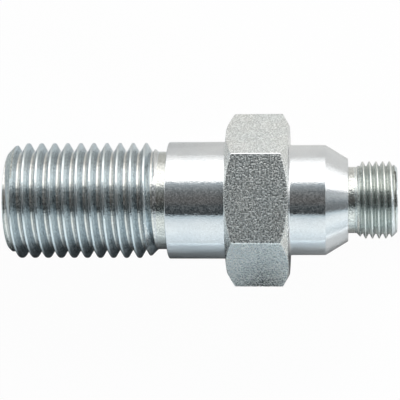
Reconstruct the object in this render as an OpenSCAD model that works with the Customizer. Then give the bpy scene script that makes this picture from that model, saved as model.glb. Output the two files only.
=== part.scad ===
// Hexagon thread adapter, turned in one piece from steel bar and zinc plated.
// The axis lies along +X, from the large thread's end face at x = 0 to the small thread's end face.
// Two flats of the hexagon face up and down along Z, and two of its corners lie along Y.

/* [Large thread] */
// outside diameter over the crests of the large thread, in mm
large_d = 31.65; // [30:0.05:33]
// pitch of the large thread, seven turns to the inch, in mm
large_pitch = 3.629; // [3:0.001:4]
// included angle of the large thread's flanks, in degrees
large_flank_angle = 60; // [55:1:60]
// width of the large thread's crest and root flats, as a part of the pitch
large_flat_ratio = 0.125; // [0.11:0.005:0.18]
// length of the large shank, from its end face to the collar, in mm
large_shank_l = 44.1; // [35:0.1:60]
// diameter of the relief groove between the large thread and the collar, in mm
large_relief_d = 26.8; // [24:0.05:26.8]
// width of the relief groove's floor, in mm
large_relief_w = 3.1; // [2.5:0.05:5]
// where the groove's centre line crosses the +Y side, from the end face, in mm
large_groove_x = -0.4; // [-1.8:0.05:1.8]
// diameter left on the large end face by its 45 degree chamfer, in mm
large_end_d = 26.8; // [25:0.1:29]

/* [Collar] */
// diameter of the plain collar, in mm
collar_d = 32; // [31.7:0.1:36]
// length of the collar, in mm
collar_l = 16.1; // [10:0.1:24]
// radius of the fillet between the collar and the hexagon, in mm
collar_fillet = 0.5; // [0.2:0.1:1.2]

/* [Hexagon] */
// width across the flats, in mm
hex_af = 41; // [38:0.5:46]
// thickness of the hexagon, in mm
hex_l = 16.8; // [12:0.1:24]
// diameter of the circle that the corner chamfers leave on the collar's side face, in mm
hex_chamfer_collar_d = 40.6; // [36.5:0.1:40.8]
// diameter of the circle that they leave on the nose's side face, in mm
hex_chamfer_nose_d = 40.8; // [36.5:0.1:40.8]
// diameter to which the hexagon's six corners are turned down, in mm
hex_corner_d = 47.2; // [46.5:0.05:47.3]
// angle between each corner chamfer and the side face, in degrees
hex_chamfer_angle = 30; // [15:1:40]

/* [Nose] */
// diameter of the nose cylinder, in mm
nose_d = 30; // [27:0.1:34]
// length of the nose cylinder, in mm
nose_l = 9.8; // [6:0.1:14]
// radius of the fillet between the nose and the hexagon, in mm
nose_fillet = 0.8; // [0.2:0.1:1.6]
// length of the cone that ends the nose, in mm
cone_l = 6.1; // [4:0.1:9]
// diameter where the cone meets the small shoulder, in mm
cone_end_d = 22.5; // [21.5:0.1:25]

/* [Small thread] */
// outside diameter over the crests of the small pipe thread, in mm
small_d = 20.955; // [20.6:0.005:21.3]
// pitch of the small thread, fourteen turns to the inch, in mm
small_pitch = 1.814; // [1.5:0.001:2]
// included angle of the small thread's flanks, in degrees
small_flank_angle = 55; // [55:1:60]
// width of the small thread's crest and root flats, as a part of the pitch
small_flat_ratio = 0.14; // [0.14:0.005:0.2]
// length of the small shank, from its shoulder to the end face, in mm
small_shank_l = 13.2; // [11:0.1:18]
// diameter of the relief groove behind the small thread, in mm
small_relief_d = 18; // [16.5:0.05:18.2]
// width of that relief groove's floor, in mm
small_relief_w = 2.3; // [2:0.05:3]
// where the groove's centre line crosses the +Y side, from the small end face, in mm
small_groove_x = -1.15; // [-1.8:0.05:0]
// diameter left on the small end face by its 45 degree chamfer, in mm
small_end_d = 17.5; // [16:0.1:18.5]

/* [Waterway] */
// diameter of the waterway through the whole length, in mm
bore_d = 10; // [6:0.1:12]
// depth of the 45 degree chamfer at each mouth of the waterway, in mm
bore_chamfer = 1; // [0.5:0.1:1.5]

/* [Finish] */
// chamfer on the turned outer edges of the collar and the nose, in mm
edge_break = 0.3; // [0.1:0.05:0.6]

/* [Hidden] */
zinc = [0.74, 0.76, 0.77];
// facets round a turned surface in the preview, and round one turn of a thread groove
round_facets = 96;
turn_steps = 40;
// straight pieces that make up each fillet's arc
fillet_steps = 4;

// stations along the axis, each measured from the large end face
collar_x = large_shank_l;
hex_x = collar_x + collar_l;
nose_x = hex_x + hex_l;
cone_x = nose_x + nose_l;
small_x = cone_x + cone_l;
total_l = small_x + small_shank_l;

// 45 degree slopes, each as long as the step in radius that it bridges
large_chamfer = (large_d - large_end_d) / 2;
large_slope = (large_d - large_relief_d) / 2;
small_chamfer = (small_d - small_end_d) / 2;
small_slope = (small_d - small_relief_d) / 2;

// how far a groove is cut past the crest radius, as a part of the pitch
crest_clearance = 0.05;
// how far the large groove's centre line runs in over the relief floor
runout = 0.55;
// the hexagon reaches into the collar and the nose so that the join has no shared skin
join = 1;
// how far a cutter stands proud of the face that it enters
proud = 1;

// depth of a thread with flats of one width on crest and root
function thread_depth(pitch, angle, flat) = pitch * (1 - 2 * flat) / 2 / tan(angle / 2);

// points of a fillet from a cylinder of radius r out to the face at x, on the side that dir gives
function fillet_arc(r, x, f, dir) = [
    for (k = [0 : fillet_steps])
        let (a = 90 * k / fillet_steps)
        [r + f - f * cos(a), x + dir * (f - f * sin(a))]
];

// the same points in the other order
function backwards(list) = [for (k = [len(list) - 1 : -1 : 0]) list[k]];

// turns a shape that is drawn up the Z axis so that it runs along X
module along_x(x = 0) {
    translate([x, 0, 0])
        rotate([0, 90, 0])
            children();
}

// outline of everything that is turned, as radius against distance along the axis
module turned_blank() {
    large_end = [
        [0, 0],
        [large_end_d / 2, 0],
        [large_d / 2, large_chamfer],
        [large_d / 2, collar_x - large_relief_w - large_slope],
        [large_relief_d / 2, collar_x - large_relief_w],
        [large_relief_d / 2, collar_x],
        [collar_d / 2 - edge_break, collar_x],
        [collar_d / 2, collar_x + edge_break]
    ];
    inside_hexagon = [
        [collar_d / 2 + collar_fillet, hex_x + join],
        [nose_d / 2 + nose_fillet, hex_x + join]
    ];
    small_end = [
        [nose_d / 2, cone_x],
        [cone_end_d / 2, small_x - edge_break],
        [cone_end_d / 2 - edge_break, small_x],
        [small_relief_d / 2, small_x],
        [small_relief_d / 2, small_x + small_relief_w],
        [small_d / 2, small_x + small_relief_w + small_slope],
        [small_d / 2, total_l - small_chamfer],
        [small_end_d / 2, total_l],
        [0, total_l]
    ];
    along_x()
        rotate_extrude($fn = round_facets)
            polygon(concat(
                large_end,
                fillet_arc(collar_d / 2, hex_x, collar_fillet, -1),
                inside_hexagon,
                backwards(fillet_arc(nose_d / 2, nose_x, nose_fillet, 1)),
                small_end
            ));
}

// the wrench hexagon, its corners turned down and chamfered on both sides
module wrench_hexagon() {
    corner_r = hex_af / 2 / cos(30);
    outer_r = hex_corner_d / 2;
    collar_chamfer_l = (outer_r - hex_chamfer_collar_d / 2) * tan(hex_chamfer_angle);
    nose_chamfer_l = (outer_r - hex_chamfer_nose_d / 2) * tan(hex_chamfer_angle);
    intersection() {
        along_x(hex_x)
            rotate([0, 0, 30])
                cylinder(r = corner_r, h = hex_l, $fn = 6);
        along_x(hex_x)
            rotate_extrude($fn = round_facets)
                polygon([
                    [0, 0],
                    [hex_chamfer_collar_d / 2, 0],
                    [outer_r, collar_chamfer_l],
                    [outer_r, hex_l - nose_chamfer_l],
                    [hex_chamfer_nose_d / 2, hex_l],
                    [0, hex_l]
                ]);
    }
}

// the through waterway, with a chamfered mouth at each end
module waterway() {
    mouth_r = bore_d / 2 + bore_chamfer + proud;
    along_x()
        rotate_extrude($fn = round_facets)
            polygon([
                [0, -proud],
                [mouth_r, -proud],
                [bore_d / 2, bore_chamfer],
                [bore_d / 2, total_l - bore_chamfer],
                [mouth_r, total_l + proud],
                [0, total_l + proud]
            ]);
}

// one right-hand V groove with a flat root, from x_from to x_to along the axis;
// its centre line crosses the +Y side at x_zero
module thread_groove(d, pitch, angle, flat, x_from, x_to, x_zero) {
    depth = thread_depth(pitch, angle, flat);
    root_r = d / 2 - depth;
    top_r = d / 2 + crest_clearance * pitch;
    root_w = flat * pitch / 2;
    top_w = root_w + (top_r - root_r) * tan(angle / 2);
    rings = ceil(turn_steps * (x_to - x_from) / pitch);
    section = [
        [-root_w, root_r],
        [root_w, root_r],
        [top_w, top_r],
        [-top_w, top_r]
    ];
    points = [
        for (i = [0 : rings])
            let (
                x = x_from + (x_to - x_from) * i / rings,
                a = 360 * (x - x_zero) / pitch
            )
            for (p = section)
                [x + p[0], p[1] * cos(a), p[1] * sin(a)]
    ];
    sides = [
        for (i = [0 : rings - 1])
            for (k = [0 : 3])
                [4 * i + k, 4 * i + 4 + k, 4 * i + 4 + (k + 1) % 4, 4 * i + (k + 1) % 4]
    ];
    caps = [
        [0, 1, 2, 3],
        [4 * rings + 3, 4 * rings + 2, 4 * rings + 1, 4 * rings]
    ];
    polyhedron(points = points, faces = concat(sides, caps), convexity = 20);
}

module adapter_body() {
    color(zinc)
        difference() {
            union() {
                turned_blank();
                wrench_hexagon();
            }
            waterway();
            thread_groove(large_d, large_pitch, large_flank_angle, large_flat_ratio,
                -large_pitch, collar_x - large_relief_w + runout, large_groove_x);
            thread_groove(small_d, small_pitch, small_flank_angle, small_flat_ratio,
                small_x + small_relief_w / 2, total_l + small_pitch, total_l + small_groove_x);
        }
}

adapter_body();
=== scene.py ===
import math

import bpy
import bmesh
import numpy as np
from mathutils import Matrix, Vector


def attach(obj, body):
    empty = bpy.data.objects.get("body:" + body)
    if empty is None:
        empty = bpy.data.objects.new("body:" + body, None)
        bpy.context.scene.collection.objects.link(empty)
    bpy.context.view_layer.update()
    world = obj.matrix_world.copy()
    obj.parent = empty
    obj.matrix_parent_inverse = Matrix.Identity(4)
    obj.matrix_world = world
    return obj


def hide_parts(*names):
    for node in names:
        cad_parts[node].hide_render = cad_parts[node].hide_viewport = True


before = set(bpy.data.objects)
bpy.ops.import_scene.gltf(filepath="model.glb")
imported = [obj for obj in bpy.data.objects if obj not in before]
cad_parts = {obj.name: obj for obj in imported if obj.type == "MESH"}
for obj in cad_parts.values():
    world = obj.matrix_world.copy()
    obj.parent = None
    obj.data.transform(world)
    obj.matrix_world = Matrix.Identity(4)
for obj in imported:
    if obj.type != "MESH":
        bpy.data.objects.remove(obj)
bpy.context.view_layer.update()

MM = 0.001

# sizes in mm, angles in degrees and ratios, the same as in the part's source
LARGE_D, LARGE_PITCH, LARGE_FLANK_ANGLE, LARGE_FLAT_RATIO = 31.65, 3.629, 60.0, 0.125
LARGE_SHANK_L, LARGE_RELIEF_D, LARGE_RELIEF_W, LARGE_END_D = 44.1, 26.8, 3.1, 26.8
COLLAR_D, COLLAR_L, COLLAR_FILLET = 32.0, 16.1, 0.5
HEX_AF, HEX_L, HEX_CHAMFER_ANGLE = 41.0, 16.8, 30.0
HEX_CHAMFER_COLLAR_D, HEX_CHAMFER_NOSE_D = 40.6, 40.8
NOSE_D, NOSE_L, NOSE_FILLET, CONE_L, CONE_END_D = 30.0, 9.8, 0.8, 6.1, 22.5
SMALL_D, SMALL_PITCH, SMALL_FLANK_ANGLE, SMALL_FLAT_RATIO = 20.955, 1.814, 55.0, 0.14
SMALL_SHANK_L, SMALL_RELIEF_D, SMALL_RELIEF_W, SMALL_END_D = 13.2, 18.0, 2.3, 17.5
BORE_D, BORE_CHAMFER, EDGE_BREAK = 10.0, 1.0, 0.3
# where each groove's centre line crosses the +Y side, from that thread's end face
LARGE_GROOVE_X, SMALL_GROOVE_X = -0.4, -1.15

# stations along the axis, in mm from the large end face
HEX_X = LARGE_SHANK_L + COLLAR_L
NOSE_X = HEX_X + HEX_L
CONE_X = NOSE_X + NOSE_L
SMALL_X = CONE_X + CONE_L
TOTAL_L = SMALL_X + SMALL_SHANK_L

# 45 degree slopes, each as long as the step in radius that it bridges
LARGE_CHAMFER = (LARGE_D - LARGE_END_D) / 2
LARGE_SLOPE = (LARGE_D - LARGE_RELIEF_D) / 2
SMALL_CHAMFER = (SMALL_D - SMALL_END_D) / 2
SMALL_SLOPE = (SMALL_D - SMALL_RELIEF_D) / 2

# roundings in mm that this mesh has and the source has not
LARGE_THREAD_ROUND, SMALL_THREAD_ROUND = 0.1, 0.06
RELIEF_ROUND, CONE_ROUND, SHOULDER_ROUND, NECK_ROUND = 0.35, 0.25, 0.3, 0.25
HEX_CORNER_ROUND, HEX_CHAMFER_ROUND, HEX_SIDE_ROUND = 0.47, 0.3, 0.15

# rows of the mesh that only carry a change of material or keep the faces even, in mm
THREAD_END_LAP = 0.6     # how far a thread's stretch reaches over its relief groove's floor
FACE_RIM = 0.25          # width of the rim on an end face
MOUTH_RIM = 0.15         # width of the ring round the bore's mouth
SIDE_RIM = 0.3           # width of the ring on the hexagon's side faces
FLANK_CUTS = 3           # count of extra rows on each flank
BORE_PARTS = 6           # count of stretches along the bore

# what tells a thread's faces apart, in mm but for the slope and the angles
FLANK_SLOPE = 1.2        # change of radius to distance along the axis, from which a face is a flank
# the front flank's darker low part is painted shade deep in the groove
PAINTED_SHADE_BELOW = 0.2          # the front flank's darker part begins this far below its middle
CUT_DEPTH = 0.02         # a face shows the blank's slope where the blank lies this far below the thread
# the burr look is a dark mark, partly burr and partly painted shade, on the small thread's back flanks near
# its end
BURR_AND_SHADE_L = 1.55            # reach of the small thread's burr from the end face
BURR_AND_SHADE_DEPTH = 0.7         # how far the blank may lie below the thread there
BURR_AND_SHADE_FROM, BURR_AND_SHADE_TO = 33, 101    # degrees round the axis, from +Y towards +Z

SHARP_ANGLE = 38.0       # edges past this angle, in degrees, stay sharp
SAME_POINT = 2e-7        # points closer than this, in m, are one

# columns round the axis, in degrees, closer together at the hexagon's six corners
half = [0.0, 0.28, 0.55, 1.0, 1.8, 3.4, 5.6, 8.0, 10.4, 12.8, 15.2, 17.6, 20.0, 22.5, 25.0, 27.5]
sector = half + [30.0] + [60.0 - h for h in reversed(half[1:])]
THETA = np.radians(np.array([60.0 * k + a for k in range(6) for a in sector]))
COLUMNS = len(THETA)

# the zinc plate's looks: two tints, the roughness in the grain's hollows and on its tops, the grain's count
# to the metre and relief in m, how far its hollows darken and how far its tops are dulled
LOOKS = {
    "turned": ((0.80, 0.82, 0.83), (0.85, 0.86, 0.86), 0.05, 0.09, 2500.0, 0.00002, 0.25, 0.16),
    "thread_front": ((0.66, 0.75, 0.785), (0.71, 0.79, 0.82), 0.10, 0.24, 2000.0, 0.00006, 0.24, 0.07),
    "thread_back": ((0.82, 0.83, 0.82), (0.88, 0.88, 0.86), 0.10, 0.24, 1900.0, 0.00005, 0.42, 0.26),
    "thread_crest": ((0.74, 0.79, 0.80), (0.80, 0.84, 0.84), 0.10, 0.20, 2500.0, 0.00004, 0.08, 0.12),
    "thread_root": ((0.84, 0.83, 0.79), (0.92, 0.90, 0.85), 0.08, 0.22, 1800.0, 0.00005, 0.30, 0.10),
    "small_flank": ((0.68, 0.725, 0.71), (0.74, 0.77, 0.74), 0.26, 0.40, 2500.0, 0.00004, 0.20, 0.0),
    "small_crest": ((0.88, 0.89, 0.83), (0.93, 0.93, 0.88), 0.22, 0.30, 2500.0, 0.00004, 0.08, 0.0),
    "small_root": ((0.46, 0.49, 0.46), (0.54, 0.56, 0.52), 0.14, 0.30, 2500.0, 0.00004, 0.30, 0.0),
    "chamfer": ((0.64, 0.67, 0.64), (0.72, 0.74, 0.70), 0.20, 0.36, 2200.0, 0.00012, 0.34, 0.05),
    "relief": ((0.74, 0.75, 0.70), (0.82, 0.82, 0.77), 0.05, 0.15, 2200.0, 0.00005, 0.40, 0.12),
    "neck": ((0.80, 0.81, 0.76), (0.87, 0.87, 0.82), 0.04, 0.14, 1900.0, 0.00010, 0.42, 0.04),
    "hexagon": ((0.87, 0.90, 0.885), (0.92, 0.93, 0.90), 0.14, 0.42, 2100.0, 0.00019, 0.22, 0.11),
    "hex_edge": ((0.82, 0.83, 0.83), (0.88, 0.88, 0.88), 0.10, 0.14, 1900.0, 0.00002, 0.05, 0.0),
    "end_face": ((0.70, 0.71, 0.71), (0.76, 0.76, 0.75), 0.28, 0.36, 2400.0, 0.00005, 0.1, 0.0),
    "bore": ((0.45, 0.46, 0.46), (0.55, 0.55, 0.54), 0.45, 0.5, 2400.0, 0.00005, 0.1, 0.0),
    "small_chamfer": ((0.86, 0.96, 1.0), (0.91, 0.98, 1.0), 0.16, 0.26, 2200.0, 0.00004, 0.10, 0.0),
    # partly burr, partly painted shade on the small thread's back flanks near its end
    "burr_and_painted_shade": ((0.14, 0.14, 0.14), (0.26, 0.26, 0.25), 0.20, 0.40, 1500.0, 0.0001, 0.55, 0.0),
    # painted shade: a darker copy of the front flank, for its part deep in the groove
    "thread_front_painted_shade": ((0.50, 0.585, 0.625), (0.55, 0.625, 0.66), 0.10, 0.24, 2000.0, 0.00006, 0.30, 0.07),
}


def look(name):
    """The number of a look's material slot."""
    return list(LOOKS).index(name)


def fillet(pts, radii, steps):
    """(x, r) points with each inner corner rounded by its radius, in as many steps as given."""
    out = [pts[0]]
    for k in range(1, len(pts) - 1):
        a, b, c = pts[k - 1], pts[k], pts[k + 1]
        if radii[k] <= 0:
            out.append(b)
            continue
        u, v = a - b, c - b
        lu, lv = np.linalg.norm(u, axis=-1, keepdims=True), np.linalg.norm(v, axis=-1, keepdims=True)
        u, v = u / lu, v / lv
        w = np.arccos(np.clip((u * v).sum(axis=-1, keepdims=True), -1, 1))
        # a rounding never takes more than 0.45 of the shorter side next to it
        t = np.minimum(radii[k] / np.tan(w / 2), 0.45 * np.minimum(lu, lv))
        radius = t * np.tan(w / 2)
        bisector = (u + v) / np.linalg.norm(u + v, axis=-1, keepdims=True)
        centre = b + bisector * radius / np.sin(w / 2)
        p0, p1 = b + u * t - centre, b + v * t - centre
        turn = np.pi - w
        for s in range(steps[k] + 1):
            f = s / steps[k]
            out.append(centre + (np.sin((1 - f) * turn) * p0 + np.sin(f * turn) * p1) / np.sin(turn))
    out.append(pts[-1])
    return out


def profile(*pts):
    """Points of a turned outline as arrays that fillet takes."""
    return [np.array(p, float) for p in pts]


def thread_rows(pitch, flat, flank_angle, outer, rounding):
    """One pitch of a thread as (distance from the groove's centre, radius) rows."""
    depth = pitch * (1 - 2 * flat) / 2 / math.tan(math.radians(flank_angle / 2))
    root = outer - depth
    w = flat * pitch / 2
    pts = profile((0.0, root), (w, root), (pitch / 2 - w, outer), (pitch / 2 + w, outer),
                  (pitch - w, root), (pitch, root))
    rows = fillet(pts, [0] + [rounding] * 4 + [0], [0, 2, 3, 3, 2, 0])
    n = len(rows) // 2
    rise, fall = rows[:n], rows[n:]

    def cuts(side):
        return [side[3] + (side[4] - side[3]) * k / (FLANK_CUTS + 1) for k in range(1, FLANK_CUTS + 1)]

    rows = rise[:4] + cuts(rise) + rise[4:] + [(rise[-1] + fall[0]) / 2] + fall[:4] + cuts(fall) + fall[4:]
    return np.array(rows[:-1])


def radius_at(x, outline):
    """The radius at each x of an outline given as (x, radius) pairs."""
    xs, rs = zip(*outline)
    return np.interp(x, xs, rs)


class Skin:
    """One closed surface, built as loops of points along the axis."""

    def __init__(self):
        self.points, self.faces, self.slots = [], [], []
        self.count = 0
        self.first = self.last = None

    def loop(self, xs, rs, slot):
        """A loop of points at x and r, given once or for each column, joined to the last loop."""
        x = np.broadcast_to(np.asarray(xs, float), (COLUMNS,))
        r = np.broadcast_to(np.asarray(rs, float), (COLUMNS,))
        self.points.append(np.stack([x, r * np.cos(THETA), r * np.sin(THETA)], axis=1))
        ids = np.arange(self.count, self.count + COLUMNS)
        self.count += COLUMNS
        if self.last is None:
            self.first = ids
        else:
            self.join(self.last, ids, slot)
        self.last = ids

    def join(self, a, b, slot):
        """Quads between two loops of points."""
        self.faces.append(np.stack([a, b, np.roll(b, -1), np.roll(a, -1)], axis=1))
        self.slots.append(np.broadcast_to(slot, (COLUMNS,)))

    def close(self, slot):
        """Joins the last loop to the first."""
        self.join(self.last, self.first, slot)

    def thread(self, pitch, rows, x0, x1, groove_x, blank, looks, ends, burr_and_shade_from=None):
        """A helical stretch from x0 to x1. Every row follows the helix, and rows past either end close up on
        that end's loop. looks names the front flanks, their low parts, which are painted shade deep in the
        groove, the back flanks, the crests, the roots and the blank's slopes that lie outside ends."""
        front, low, back, crest, root, slope_look = (look(name) for name in looks)
        per_turn = len(rows)
        first = math.floor((x0 - pitch - groove_x) / pitch) - 1
        turns = math.ceil((x1 - groove_x) / pitch) + 2 - first
        start = np.concatenate([rows[:, 0] + (first + k) * pitch + groove_x for k in range(turns)])
        count = len(start)
        advance = pitch * THETA[None, :] / (2 * math.pi)
        x_free = start[:, None] + advance
        x = np.clip(x_free, x0, x1)
        phase = (x - advance - groove_x) % pitch
        whole = np.vstack([rows, [pitch, rows[0, 1]]])
        thread_r = np.where(x == x_free, np.tile(rows[:, 1], turns)[:, None],
                            np.interp(phase, whole[:, 0], whole[:, 1]))
        blank_r = radius_at(x, blank)
        r = np.minimum(thread_r, blank_r)
        ids = self.count + np.arange(count * COLUMNS).reshape(count, COLUMNS)
        self.count += count * COLUMNS
        self.points.append(np.stack([x, r * np.cos(THETA), r * np.sin(THETA)], axis=2).reshape(-1, 3))

        # after the last column a row goes on as the row one turn further
        turn_up = np.minimum(np.arange(count) + per_turn, count - 1)
        next_ids = np.concatenate([ids[:, 1:], ids[turn_up, 0][:, None]], axis=1)
        next_x = np.concatenate([x[:, 1:], x[turn_up, 0][:, None]], axis=1)
        quads = np.stack([ids[:-1], ids[1:], next_ids[1:], next_ids[:-1]], axis=2).reshape(-1, 4)
        keep = ~((x[:-1] == x[1:]) & (next_x[1:] == next_x[:-1])).reshape(-1)
        self.faces.append(quads[keep])

        next_r = np.append(rows[1:, 1], rows[0, 1])
        slope = (next_r - rows[:, 1]) / np.diff(np.append(rows[:, 0], pitch))
        middle = (rows[:, 1].max() + rows[:, 1].min()) / 2
        flat = np.where(rows[:, 1] > middle, crest, root)
        # the front flank's low part gets the darker look, painted shade deep in the groove
        falling = np.where(next_r < middle - PAINTED_SHADE_BELOW, low, front)
        of_row = np.where(slope > FLANK_SLOPE, back, np.where(slope < -FLANK_SLOPE, falling, flat))
        row = np.arange(count - 1) % per_turn
        slots = np.repeat(of_row[row], COLUMNS)
        cut = ((thread_r > blank_r + CUT_DEPTH) & ((x < ends[0]) | (x > ends[1])))[:-1].reshape(-1)
        slots = np.where(cut, slope_look, slots)
        # past that point, back flanks on the side turned up get the dark look: partly burr, partly painted
        # shade
        if burr_and_shade_from is not None:
            turned_up = (THETA < math.radians(BURR_AND_SHADE_TO)) & (THETA > math.radians(BURR_AND_SHADE_FROM))
            burr_and_painted_shade = ((x > burr_and_shade_from) & (thread_r < blank_r + BURR_AND_SHADE_DEPTH) & turned_up)[:-1].reshape(-1)
            burr_and_painted_shade &= np.repeat((slope > FLANK_SLOPE)[row], COLUMNS)
            slots = np.where(burr_and_painted_shade, look("burr_and_painted_shade"), slots)
        self.slots.append(slots[keep])
        self.join(self.last, ids[0], front)
        self.last = ids[-1]


def large_thread(skin):
    """The large end face with the bore's mouth, and the large thread."""
    skin.loop(BORE_CHAMFER, BORE_D / 2, look("bore"))
    skin.loop(0, BORE_D / 2 + BORE_CHAMFER, look("bore"))
    skin.loop(0, BORE_D / 2 + BORE_CHAMFER + MOUTH_RIM, look("end_face"))
    skin.loop(0, LARGE_END_D / 2 - FACE_RIM, look("end_face"))
    rows = thread_rows(LARGE_PITCH, LARGE_FLAT_RATIO, LARGE_FLANK_ANGLE, LARGE_D / 2, LARGE_THREAD_ROUND)
    relief_x = LARGE_SHANK_L - LARGE_RELIEF_W
    blank = [(0, LARGE_END_D / 2), (LARGE_CHAMFER, LARGE_D / 2), (relief_x - LARGE_SLOPE, LARGE_D / 2),
             (relief_x, LARGE_RELIEF_D / 2), (LARGE_SHANK_L, LARGE_RELIEF_D / 2)]
    looks = ("thread_front", "thread_front_painted_shade", "thread_back", "thread_crest", "thread_root", "chamfer")
    skin.thread(LARGE_PITCH, rows, 0, relief_x + THREAD_END_LAP, LARGE_GROOVE_X, blank, looks,
                (LARGE_CHAMFER, TOTAL_L))


def collar(skin):
    """The relief groove's floor, the shoulder and the collar, up to the hexagon's side face."""
    pts = profile((LARGE_SHANK_L - LARGE_RELIEF_W + THREAD_END_LAP, LARGE_RELIEF_D / 2),
                  (LARGE_SHANK_L, LARGE_RELIEF_D / 2), (LARGE_SHANK_L, COLLAR_D / 2),
                  (HEX_X, COLLAR_D / 2), (HEX_X, HEX_CHAMFER_COLLAR_D / 2 - SIDE_RIM))
    pts = fillet(pts, [0, RELIEF_ROUND, EDGE_BREAK, COLLAR_FILLET, 0], [0, 3, 4, 5, 0])
    for k, (x, r) in enumerate(pts[1:], 1):
        skin.loop(x, r, look("relief") if k < 3 else look("turned"))


def hexagon(skin):
    """The hexagon with rounded corners, chamfered on both sides."""
    corner = np.abs((THETA + math.pi / 6) % (math.pi / 3) - math.pi / 6)
    flat_r = HEX_AF / 2 / np.cos(math.pi / 6 - corner)
    centre_r = (HEX_AF / 2 - HEX_CORNER_ROUND) / math.cos(math.pi / 6)
    tangent = math.atan(HEX_CORNER_ROUND / 2 / (centre_r + HEX_CORNER_ROUND * math.cos(math.pi / 6)))
    inside = np.maximum(HEX_CORNER_ROUND ** 2 - (centre_r * np.sin(corner)) ** 2, 0)
    hex_r = np.where(corner < tangent, centre_r * np.cos(corner) + np.sqrt(inside), flat_r)
    # the three corners on the +Y side have a smoother look
    on_corner = (np.maximum(corner, np.roll(corner, -1)) < tangent) & (np.cos(THETA) > -0.1)
    flat_look = np.where(on_corner, look("hex_edge"), look("hexagon"))

    def ring(x, r):
        both = [np.broadcast_to(x, (COLUMNS,)), np.broadcast_to(r, (COLUMNS,))]
        return np.stack(both, axis=1).astype(float)

    def chamfer_l(chamfer_d):
        return (hex_r - chamfer_d / 2) * math.tan(math.radians(HEX_CHAMFER_ANGLE))

    pts = [ring(HEX_X, HEX_CHAMFER_COLLAR_D / 2 - SIDE_RIM), ring(HEX_X, HEX_CHAMFER_COLLAR_D / 2),
           ring(HEX_X + chamfer_l(HEX_CHAMFER_COLLAR_D), hex_r),
           ring(NOSE_X - chamfer_l(HEX_CHAMFER_NOSE_D), hex_r),
           ring(NOSE_X, HEX_CHAMFER_NOSE_D / 2), ring(NOSE_X, HEX_CHAMFER_NOSE_D / 2 - SIDE_RIM)]
    pts = fillet(pts, [0, HEX_SIDE_ROUND, HEX_CHAMFER_ROUND, HEX_CHAMFER_ROUND, HEX_SIDE_ROUND, 0],
                 [0, 2, 4, 4, 2, 0])
    for k, p in enumerate(pts[1:], 1):
        on_side = k <= 3 or k >= len(pts) - 3
        skin.loop(p[:, 0], p[:, 1], look("turned") if on_side else flat_look)


def nose(skin):
    """The nose, its cone, the small shoulder and the small relief groove's floor."""
    pts = profile((NOSE_X, HEX_CHAMFER_NOSE_D / 2 - SIDE_RIM), (NOSE_X, NOSE_D / 2), (CONE_X, NOSE_D / 2),
                  (SMALL_X, CONE_END_D / 2), (SMALL_X, SMALL_RELIEF_D / 2),
                  (SMALL_X + SMALL_RELIEF_W - THREAD_END_LAP, SMALL_RELIEF_D / 2))
    pts = fillet(pts, [0, NOSE_FILLET, CONE_ROUND, SHOULDER_ROUND, NECK_ROUND, 0], [0, 5, 3, 4, 3, 0])
    for k, (x, r) in enumerate(pts[1:], 1):
        skin.loop(x, r, look("neck") if k > len(pts) - 3 else look("turned"))


def small_thread(skin):
    """The small thread, its end face and the bore, back to the first loop."""
    rows = thread_rows(SMALL_PITCH, SMALL_FLAT_RATIO, SMALL_FLANK_ANGLE, SMALL_D / 2, SMALL_THREAD_ROUND)
    relief_x = SMALL_X + SMALL_RELIEF_W
    blank = [(SMALL_X, SMALL_RELIEF_D / 2), (relief_x, SMALL_RELIEF_D / 2),
             (relief_x + SMALL_SLOPE, SMALL_D / 2), (TOTAL_L - SMALL_CHAMFER, SMALL_D / 2),
             (TOTAL_L, SMALL_END_D / 2)]
    looks = ("small_flank", "small_flank", "small_flank", "small_crest", "small_root", "small_chamfer")
    skin.thread(SMALL_PITCH, rows, relief_x - THREAD_END_LAP, TOTAL_L, TOTAL_L + SMALL_GROOVE_X, blank, looks,
                (0, TOTAL_L - SMALL_CHAMFER), TOTAL_L - BURR_AND_SHADE_L)
    skin.loop(TOTAL_L, SMALL_END_D / 2 - FACE_RIM, look("end_face"))
    skin.loop(TOTAL_L, BORE_D / 2 + BORE_CHAMFER + MOUTH_RIM, look("end_face"))
    skin.loop(TOTAL_L, BORE_D / 2 + BORE_CHAMFER, look("end_face"))
    for k in range(BORE_PARTS):
        x = TOTAL_L - BORE_CHAMFER - (TOTAL_L - 2 * BORE_CHAMFER) * k / BORE_PARTS
        skin.loop(x, BORE_D / 2, look("bore"))
    skin.close(look("bore"))


def put(nt, socket, source):
    """Joins an input to an output, or sets it to a value."""
    if isinstance(source, bpy.types.NodeSocket):
        nt.links.new(source, socket)
    else:
        socket.default_value = source


def node(nt, kind, inputs=(), **settings):
    """A new node with its settings, and with (input, output or value) pairs put in."""
    n = nt.nodes.new(kind)
    for key, value in settings.items():
        setattr(n, key, value)
    for key, source in inputs:
        put(nt, n.inputs[key], source)
    return n


def spread(nt, source, low, high, to_low=0.0, to_high=1.0, **settings):
    """The source's range from low to high, spread over to_low to to_high."""
    return node(nt, "ShaderNodeMapRange", (
        ("Value", source), ("From Min", low), ("From Max", high), ("To Min", to_low), ("To Max", to_high)),
        **settings).outputs["Result"]


def reckon(nt, operation, *values):
    """The result of the operation named on one to three values."""
    return node(nt, "ShaderNodeMath", enumerate(values), operation=operation).outputs[0]


def ramp(nt, source, stops):
    """A colour for each value of the source, from (position, colour) stops."""
    n = node(nt, "ShaderNodeValToRGB", (("Fac", source),))
    elements = n.color_ramp.elements
    while len(elements) < len(stops):
        elements.new(0.5)
    for e, (position, colour) in zip(elements, stops):
        e.position = position
        e.color = (*colour, 1)
    return n.outputs["Color"]


def glow(nt, kind, colour, strength):
    """An emission or background of one colour and strength."""
    return node(nt, kind, (("Color", (*colour, 1)), ("Strength", strength))).outputs[0]


def mixed(nt, share, a, b):
    """Shader a, with a share of shader b."""
    return node(nt, "ShaderNodeMixShader", (("Fac", share), (1, a), (2, b))).outputs[0]


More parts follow.
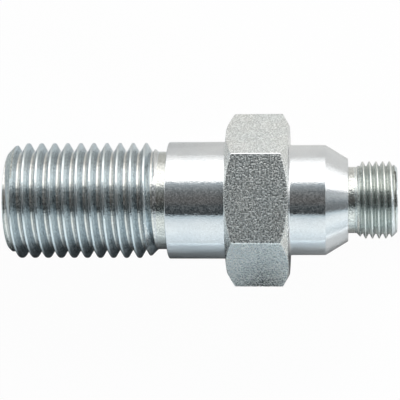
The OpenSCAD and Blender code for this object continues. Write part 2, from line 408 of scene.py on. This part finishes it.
def noise(nt, where, scale, detail, roughness):
    """A noise from 0 to 1 at the coordinates given."""
    return node(nt, "ShaderNodeTexNoise", (
        ("Vector", where), ("Scale", scale), ("Detail", detail), ("Roughness", roughness))).outputs["Fac"]


def empty_material(name):
    """A material cleared of its default nodes, its node tree and its object coordinates."""
    m = bpy.data.materials.new(name)
    m.use_nodes = True
    m.node_tree.nodes.clear()
    return m, m.node_tree, node(m.node_tree, "ShaderNodeTexCoord").outputs["Object"]


def zinc(name, tint_a, tint_b, smooth, rough, size, relief, mottle, dull):
    """Zinc plate over turned steel, in one of the looks of the table above."""
    m = bpy.data.materials.new(name)
    m.use_nodes = True
    nt = m.node_tree
    bsdf = nt.nodes["Principled BSDF"]
    where = node(nt, "ShaderNodeTexCoord").outputs["Object"]
    drift = noise(nt, where, 110.0, 5.0, 0.5)
    grain = noise(nt, where, size, 2.0, 0.6)
    tint = ramp(nt, drift, ((0.36, tint_a), (0.64, tint_b)))
    shade = spread(nt, grain, 0.35, 0.65, 1.0 - mottle, 1.0)
    colour = node(nt, "ShaderNodeMix", (("Factor", 1.0), ("A", tint), ("B", shade)),
                  data_type="RGBA", blend_type="MULTIPLY").outputs["Result"]
    put(nt, bsdf.inputs["Base Color"], colour)
    put(nt, bsdf.inputs["Roughness"], spread(nt, grain, 0.42, 0.62, smooth, rough))
    put(nt, bsdf.inputs["Metallic"], spread(nt, grain, 0.40, 0.60, 1.0, 1.0 - dull) if dull > 0 else 1.0)
    bump = node(nt, "ShaderNodeBump", (("Strength", 1.0), ("Distance", relief), ("Height", grain)))
    put(nt, bsdf.inputs["Normal"], bump.outputs["Normal"])
    return m


def adapter():
    """The whole adapter as one closed mesh, which replaces the solid."""
    skin = Skin()
    for stretch in (large_thread, collar, hexagon, nose, small_thread):
        stretch(skin)
    mesh = bpy.data.meshes.new("adapter_body_fine")
    mesh.from_pydata((np.concatenate(skin.points) * MM).tolist(), [], np.concatenate(skin.faces).tolist())
    mesh.polygons.foreach_set("material_index", np.concatenate(skin.slots).astype(np.int32))
    mesh.update()
    bm = bmesh.new()
    bm.from_mesh(mesh)
    bmesh.ops.remove_doubles(bm, verts=bm.verts, dist=SAME_POINT)
    bmesh.ops.dissolve_degenerate(bm, edges=bm.edges, dist=SAME_POINT)
    bmesh.ops.recalc_face_normals(bm, faces=bm.faces)
    if bm.calc_volume(signed=True) < 0:
        bmesh.ops.reverse_faces(bm, faces=bm.faces)
    print("adapter mesh:", len(bm.verts), "points", sum(len(f.verts) - 2 for f in bm.faces), "triangles",
          sum(1 for e in bm.edges if len(e.link_faces) != 2), "open edges",
          round(bm.calc_volume() * 1e9, 1), "mm3")
    bm.to_mesh(mesh)
    bm.free()
    mesh.polygons.foreach_set("use_smooth", np.ones(len(mesh.polygons), dtype=bool))
    mesh.set_sharp_from_angle(angle=math.radians(SHARP_ANGLE))
    body = bpy.data.objects.new("adapter_body_fine", mesh)
    bpy.context.scene.collection.objects.link(body)
    even = body.modifiers.new("even_normals", "WEIGHTED_NORMAL")
    even.keep_sharp = True
    even.weight = 50
    for name, values in LOOKS.items():
        mesh.materials.append(zinc("zinc_" + name, *values))
    return body


body = adapter()
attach(body, "root")
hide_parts("adapter_body")

# the adapter lies tilted, on the left edge of the hexagon's lower flat and on the large thread's first crest
FLAT_EDGE_X, FIRST_CREST_X = HEX_X + 0.3, 2.4
touch_hex = Vector((FLAT_EDGE_X, 0, -HEX_AF / 2)) * MM
touch_thread = Vector((FIRST_CREST_X, 0, -LARGE_D / 2)) * MM
along = (touch_hex - touch_thread).normalized()
up = Vector((-along.z, 0, along.x)).normalized()
if up.z < 0:
    up = -up
right = Vector((0, 1, 0)).cross(up).normalized()
tilt = Matrix((right, Vector((0, 1, 0)), up)).transposed()


def place(obj, local, rot=(0, 0, 0)):
    """Puts a stage object in floor axes (right, +Y, up) that start where the hexagon touches the floor."""
    base = Matrix.Translation(touch_hex) @ tilt.to_4x4()
    obj.matrix_world = base @ Matrix.Translation(Vector(local)) @ (
        Matrix.Rotation(rot[2], 4, "Z") @ Matrix.Rotation(rot[1], 4, "Y") @ Matrix.Rotation(rot[0], 4, "X"))


def camera():
    """The photo's camera. The photo's width and the distance are in the photo's pixels."""
    photo_width, distance, sensor = 400, 1700, 36.0
    pixel = 0.2743 * MM
    aim = Vector((52.44, 0.07, 0.0)) * MM
    swing = Matrix.Rotation(math.radians(1.3), 4, right)
    back = Matrix.Translation(up * (distance * pixel))
    data = bpy.data.cameras.new("camera")
    data.sensor_width = sensor
    data.lens = sensor * distance / photo_width
    data.clip_start, data.clip_end = 0.01, 20.0
    cam = bpy.data.objects.new("camera", data)
    bpy.context.scene.collection.objects.link(cam)
    cam.matrix_world = Matrix.Translation(aim) @ swing @ back @ tilt.to_4x4()
    bpy.context.scene.camera = cam


def plain_object(name, pts, quads, material):
    """An object of one material, from points and the quads that join them."""
    mesh = bpy.data.meshes.new(name)
    mesh.from_pydata(pts, [], quads)
    mesh.materials.append(material)
    o = bpy.data.objects.new(name, mesh)
    bpy.context.scene.collection.objects.link(o)
    return o


def plane(name, size_x, size_y, material):
    """A flat rectangle round its origin."""
    corners = [(x * size_x / 2, y * size_y / 2, 0) for x, y in ((-1, -1), (1, -1), (1, 1), (-1, 1))]
    return plain_object(name, corners, [(0, 1, 2, 3)], material)


def floor_material():
    """White to the camera. In reflections and light it is cooler towards -Y, as painted cool light, and
    darker near the adapter, as painted shade.
    """
    m, nt, where = empty_material("floor_white")
    sep = node(nt, "ShaderNodeSeparateXYZ", ((0, where),))
    x, y = sep.outputs["X"], sep.outputs["Y"]
    # painted cool light: the floor's colour turns bluish towards -Y and the large end
    side = spread(nt, reckon(nt, "MULTIPLY_ADD", x, 0.8, y), -0.07, 0.02)
    painted_cool_tone = ramp(nt, side, ((0.0, (0.72, 0.83, 0.90)), (1.0, (0.84, 0.84, 0.83))))
    # painted shade by the distance from the axis in mm, which counts for more towards the small end
    painted_shade_stops = ((-94, 0.96), (-82, 0.95), (-70, 0.87), (-59, 0.72), (-41, 0.42), (-28, 0.12), (0, 0.20),
              (22, 0.96), (32, 0.94), (40, 0.82), (60, 0.88), (85, 1.0))
    widest = 100
    away = reckon(nt, "MULTIPLY", spread(nt, x, -0.04, 0.08, 1.0, 3.2), y)
    across = spread(nt, away, -widest * MM, widest * MM)
    close = ramp(nt, across, [((d + widest) / (2 * widest), (v, v, v)) for d, v in painted_shade_stops])
    # the painted shade ends just past the large end, so that its chamfer sees a light floor
    near_painted_shade = reckon(nt, "MAXIMUM", close, spread(nt, x, -0.064, -0.105))
    colour = node(nt, "ShaderNodeVectorMath", ((0, painted_cool_tone), (1, near_painted_shade)), operation="MULTIPLY").outputs[0]
    diffuse = node(nt, "ShaderNodeBsdfDiffuse", (("Color", colour),)).outputs[0]
    to_camera = node(nt, "ShaderNodeLightPath").outputs["Is Camera Ray"]
    share = reckon(nt, "MULTIPLY", to_camera, 0.975)
    seen = mixed(nt, share, diffuse, glow(nt, "ShaderNodeEmission", (1, 1, 1), 1.0))
    node(nt, "ShaderNodeOutputMaterial", (("Surface", seen),))
    return m


def studio_world():
    """White to the camera, a dim room in reflections and a little fill light."""
    world = bpy.data.worlds.new("studio")
    bpy.context.scene.world = world
    world.use_nodes = True
    nt = world.node_tree
    nt.nodes.clear()
    fill = glow(nt, "ShaderNodeBackground", (0.85, 0.94, 1.0), 0.03)
    room = glow(nt, "ShaderNodeBackground", (0.92, 0.92, 0.88), 0.35)
    white = glow(nt, "ShaderNodeBackground", (1, 1, 1), 1.0)
    path = node(nt, "ShaderNodeLightPath")
    unseen = mixed(nt, path.outputs["Is Glossy Ray"], fill, room)
    seen = mixed(nt, path.outputs["Is Camera Ray"], unseen, white)
    node(nt, "ShaderNodeOutputWorld", (("Surface", seen),))


YAW = math.radians(-3.5)
COOL, PALE, PLAIN, WARM = (0.84, 0.94, 1.0), (0.90, 0.97, 1.0), (1.0, 1.0, 1.0), (1.0, 0.98, 0.95)
DEEP = (0.72, 0.90, 1.0)
NEAR_TENT, FAR_TENT, HALF_TENT = 0.28, 0.7, 1.0    # the tent's radii and half its length, in m


def light_card(name, pts, quads, low, high, stops):
    """A card that only reflections see. Its light changes with the angle round the adapter, from straight up
    towards +Y, and stops are (degrees, strength, tint)."""
    m, nt, where = empty_material(name)
    sep = node(nt, "ShaderNodeSeparateXYZ", ((0, where),))
    angle = reckon(nt, "ARCTAN2", sep.outputs["Y"], sep.outputs["Z"])
    brightest = max(v for _, v, _ in stops)
    part = spread(nt, angle, math.radians(low), math.radians(high))
    light = ramp(nt, part, [((a - low) / (high - low), [c * v / brightest for c in tint])
                            for a, v, tint in stops])
    emission = node(nt, "ShaderNodeEmission", (("Color", light), ("Strength", brightest)))
    node(nt, "ShaderNodeOutputMaterial", (("Surface", emission.outputs[0]),))
    card = plain_object(name, pts, quads, m)
    place(card, (0, 0, HEX_AF / 2 * MM), (0, 0, YAW))
    card.visible_camera = card.visible_shadow = card.visible_diffuse = False
    return card


def strip(steps, low, high, rim):
    """A strip of quads from angle low to high, whose two edges rim gives for each sine and cosine."""
    pts = []
    for k in range(steps + 1):
        a = math.radians(low + (high - low) * k / steps)
        pts += rim(math.sin(a), math.cos(a))
    return pts, [(2 * k, 2 * k + 1, 2 * k + 3, 2 * k + 2) for k in range(steps)]


def arc_card(name, low, high, dist, stops, length=2 * HALF_TENT):
    """A curved card along the adapter, as long as the tent unless a length is given."""
    pts, quads = strip(24, low, high, lambda s, c: [(x * length, s * dist, c * dist) for x in (-0.5, 0.5)])
    return light_card(name, pts, quads, low, high, stops)


def end_card(name, x, stops):
    """A half-round card that closes one end of the tent."""
    pts, quads = strip(48, -90, 90, lambda s, c: [(x, s * r, c * r) for r in (0.02, FAR_TENT)])
    return light_card(name, pts, quads, -90, 90, stops)


def light_tent():
    """A large soft box on the +Y side, a paler one on the other side and a dim ceiling between them. The end
    cards show in the cone, the chamfers and the thread's flanks, and the low card in the small chamfer."""
    arc_card("softbox_top", 34.1, 94, NEAR_TENT, [
        (34.1, 1.85, PLAIN), (66, 1.85, PLAIN), (76, 1.6, PLAIN), (84, 1.28, PLAIN), (90, 1.03, PLAIN),
        (94, 0.9, PLAIN)])
    arc_card("ceiling", -31.3, 34.1, FAR_TENT, [
        (-31.3, 0.045, DEEP), (-15, 0.07, DEEP), (-6, 0.10, PLAIN), (2, 0.105, PLAIN), (14, 0.165, PALE),
        (26, 0.36, COOL), (34.1, 0.72, COOL)])
    arc_card("softbox_low", -94, -31.3, NEAR_TENT, [
        (-94, 0.89, COOL), (-80, 1.10, COOL), (-62, 1.20, PALE), (-48, 1.12, PALE), (-38, 0.95, COOL),
        (-31.3, 0.70, DEEP)])
    end_card("end_small", HALF_TENT, [
        (-90, 0.90, PALE), (-70, 0.72, PALE), (-60, 0.56, PALE), (-52, 0.40, COOL), (-43, 0.26, COOL),
        (-35, 0.22, COOL), (-24, 0.20, COOL), (-12, 0.20, COOL), (-3, 0.29, COOL), (6, 0.43, COOL),
        (15, 0.58, PALE), (25, 0.72, PALE), (36, 0.70, PLAIN), (46, 0.64, PLAIN), (58, 0.85, PLAIN),
        (68, 1.2, PLAIN), (90, 1.4, PLAIN)])
    end_card("end_large", -HALF_TENT, [
        (-90, 0.56, WARM), (-50, 0.56, WARM), (-36, 0.29, WARM), (30, 0.33, WARM), (44, 0.86, WARM),
        (90, 0.90, WARM)])
    low_card = arc_card("low_card_small", -65, 65, 0.30, [(-65, 0.95, COOL), (65, 0.95, COOL)], length=0.02)
    low_card.location.x += 0.9


def painted_shade_flag():
    """A dark card with soft edges beside the hexagon, seen only in reflections: painted shade that gives the
    hexagon's lower face its fall-off.
    """
    m, nt, where = empty_material("flag_dark")
    sep = node(nt, "ShaderNodeSeparateXYZ", ((0, where),))
    dark = glow(nt, "ShaderNodeEmission", (0.75, 0.92, 1.0), 0.05)
    height = 0.024
    from_middle = reckon(nt, "ABSOLUTE", sep.outputs["X"])
    fade_x = spread(nt, from_middle, 0.0038, HEX_L / 2 * MM, 1.0, 0.0, interpolation_type="SMOOTHSTEP")
    fade_y = spread(nt, sep.outputs["Y"], height / 4, height / 2, 1.0, 0.0, interpolation_type="SMOOTHSTEP")
    clear = node(nt, "ShaderNodeBsdfTransparent").outputs[0]
    seen = mixed(nt, reckon(nt, "MULTIPLY", fade_x, fade_y), clear, dark)
    node(nt, "ShaderNodeOutputMaterial", (("Surface", seen),))
    card = plane("painted_shade_flag", HEX_L * MM, height, m)
    place(card, ((HEX_L / 2 - 0.8) * MM, -0.038, 0.0123), (math.pi / 2, 0, 0))
    # seen only in reflections, the card stands in for shade on the floor beside the hexagon
    card.visible_camera = card.visible_shadow = card.visible_diffuse = False


def floor_lamp(name, at, aim_at, size_x, size_y, energy):
    """A lamp that lights the floor and gives the part its soft shadow, out of the metal's sight."""
    lamp = bpy.data.lights.new(name, "AREA")
    lamp.shape = "RECTANGLE"
    lamp.size, lamp.size_y = size_x, size_y
    lamp.energy = energy
    o = bpy.data.objects.new(name, lamp)
    bpy.context.scene.collection.objects.link(o)
    place(o, at, (Vector(aim_at) - Vector(at)).to_track_quat("-Z", "Y").to_euler("XYZ"))
    o.visible_glossy = False
    o.visible_camera = False


camera()
floor = plane("floor", 4.0, 4.0, floor_material())
place(floor, (0, 0, 0))
studio_world()
light_tent()
painted_shade_flag()
floor_lamp("lamp_top", (0.15, 1.42, 0.72), (0, 0, 0), 0.8, 0.95, 40.0)
floor_lamp("lamp_far", (0.0, -0.34, 0.06), (0.0, -0.20, 0), 0.4, 0.06, 0.58)
floor_lamp("lamp_far_end", (0.32, -0.40, 0.08), (0.26, -0.26, 0), 0.3, 0.08, 0.5)
floor_lamp("lamp_end", (0.25, -0.13, 0.05), (0.08, -0.07, 0), 0.04, 0.04, 0.2)

bpy.context.scene.view_settings.view_transform = "Standard"
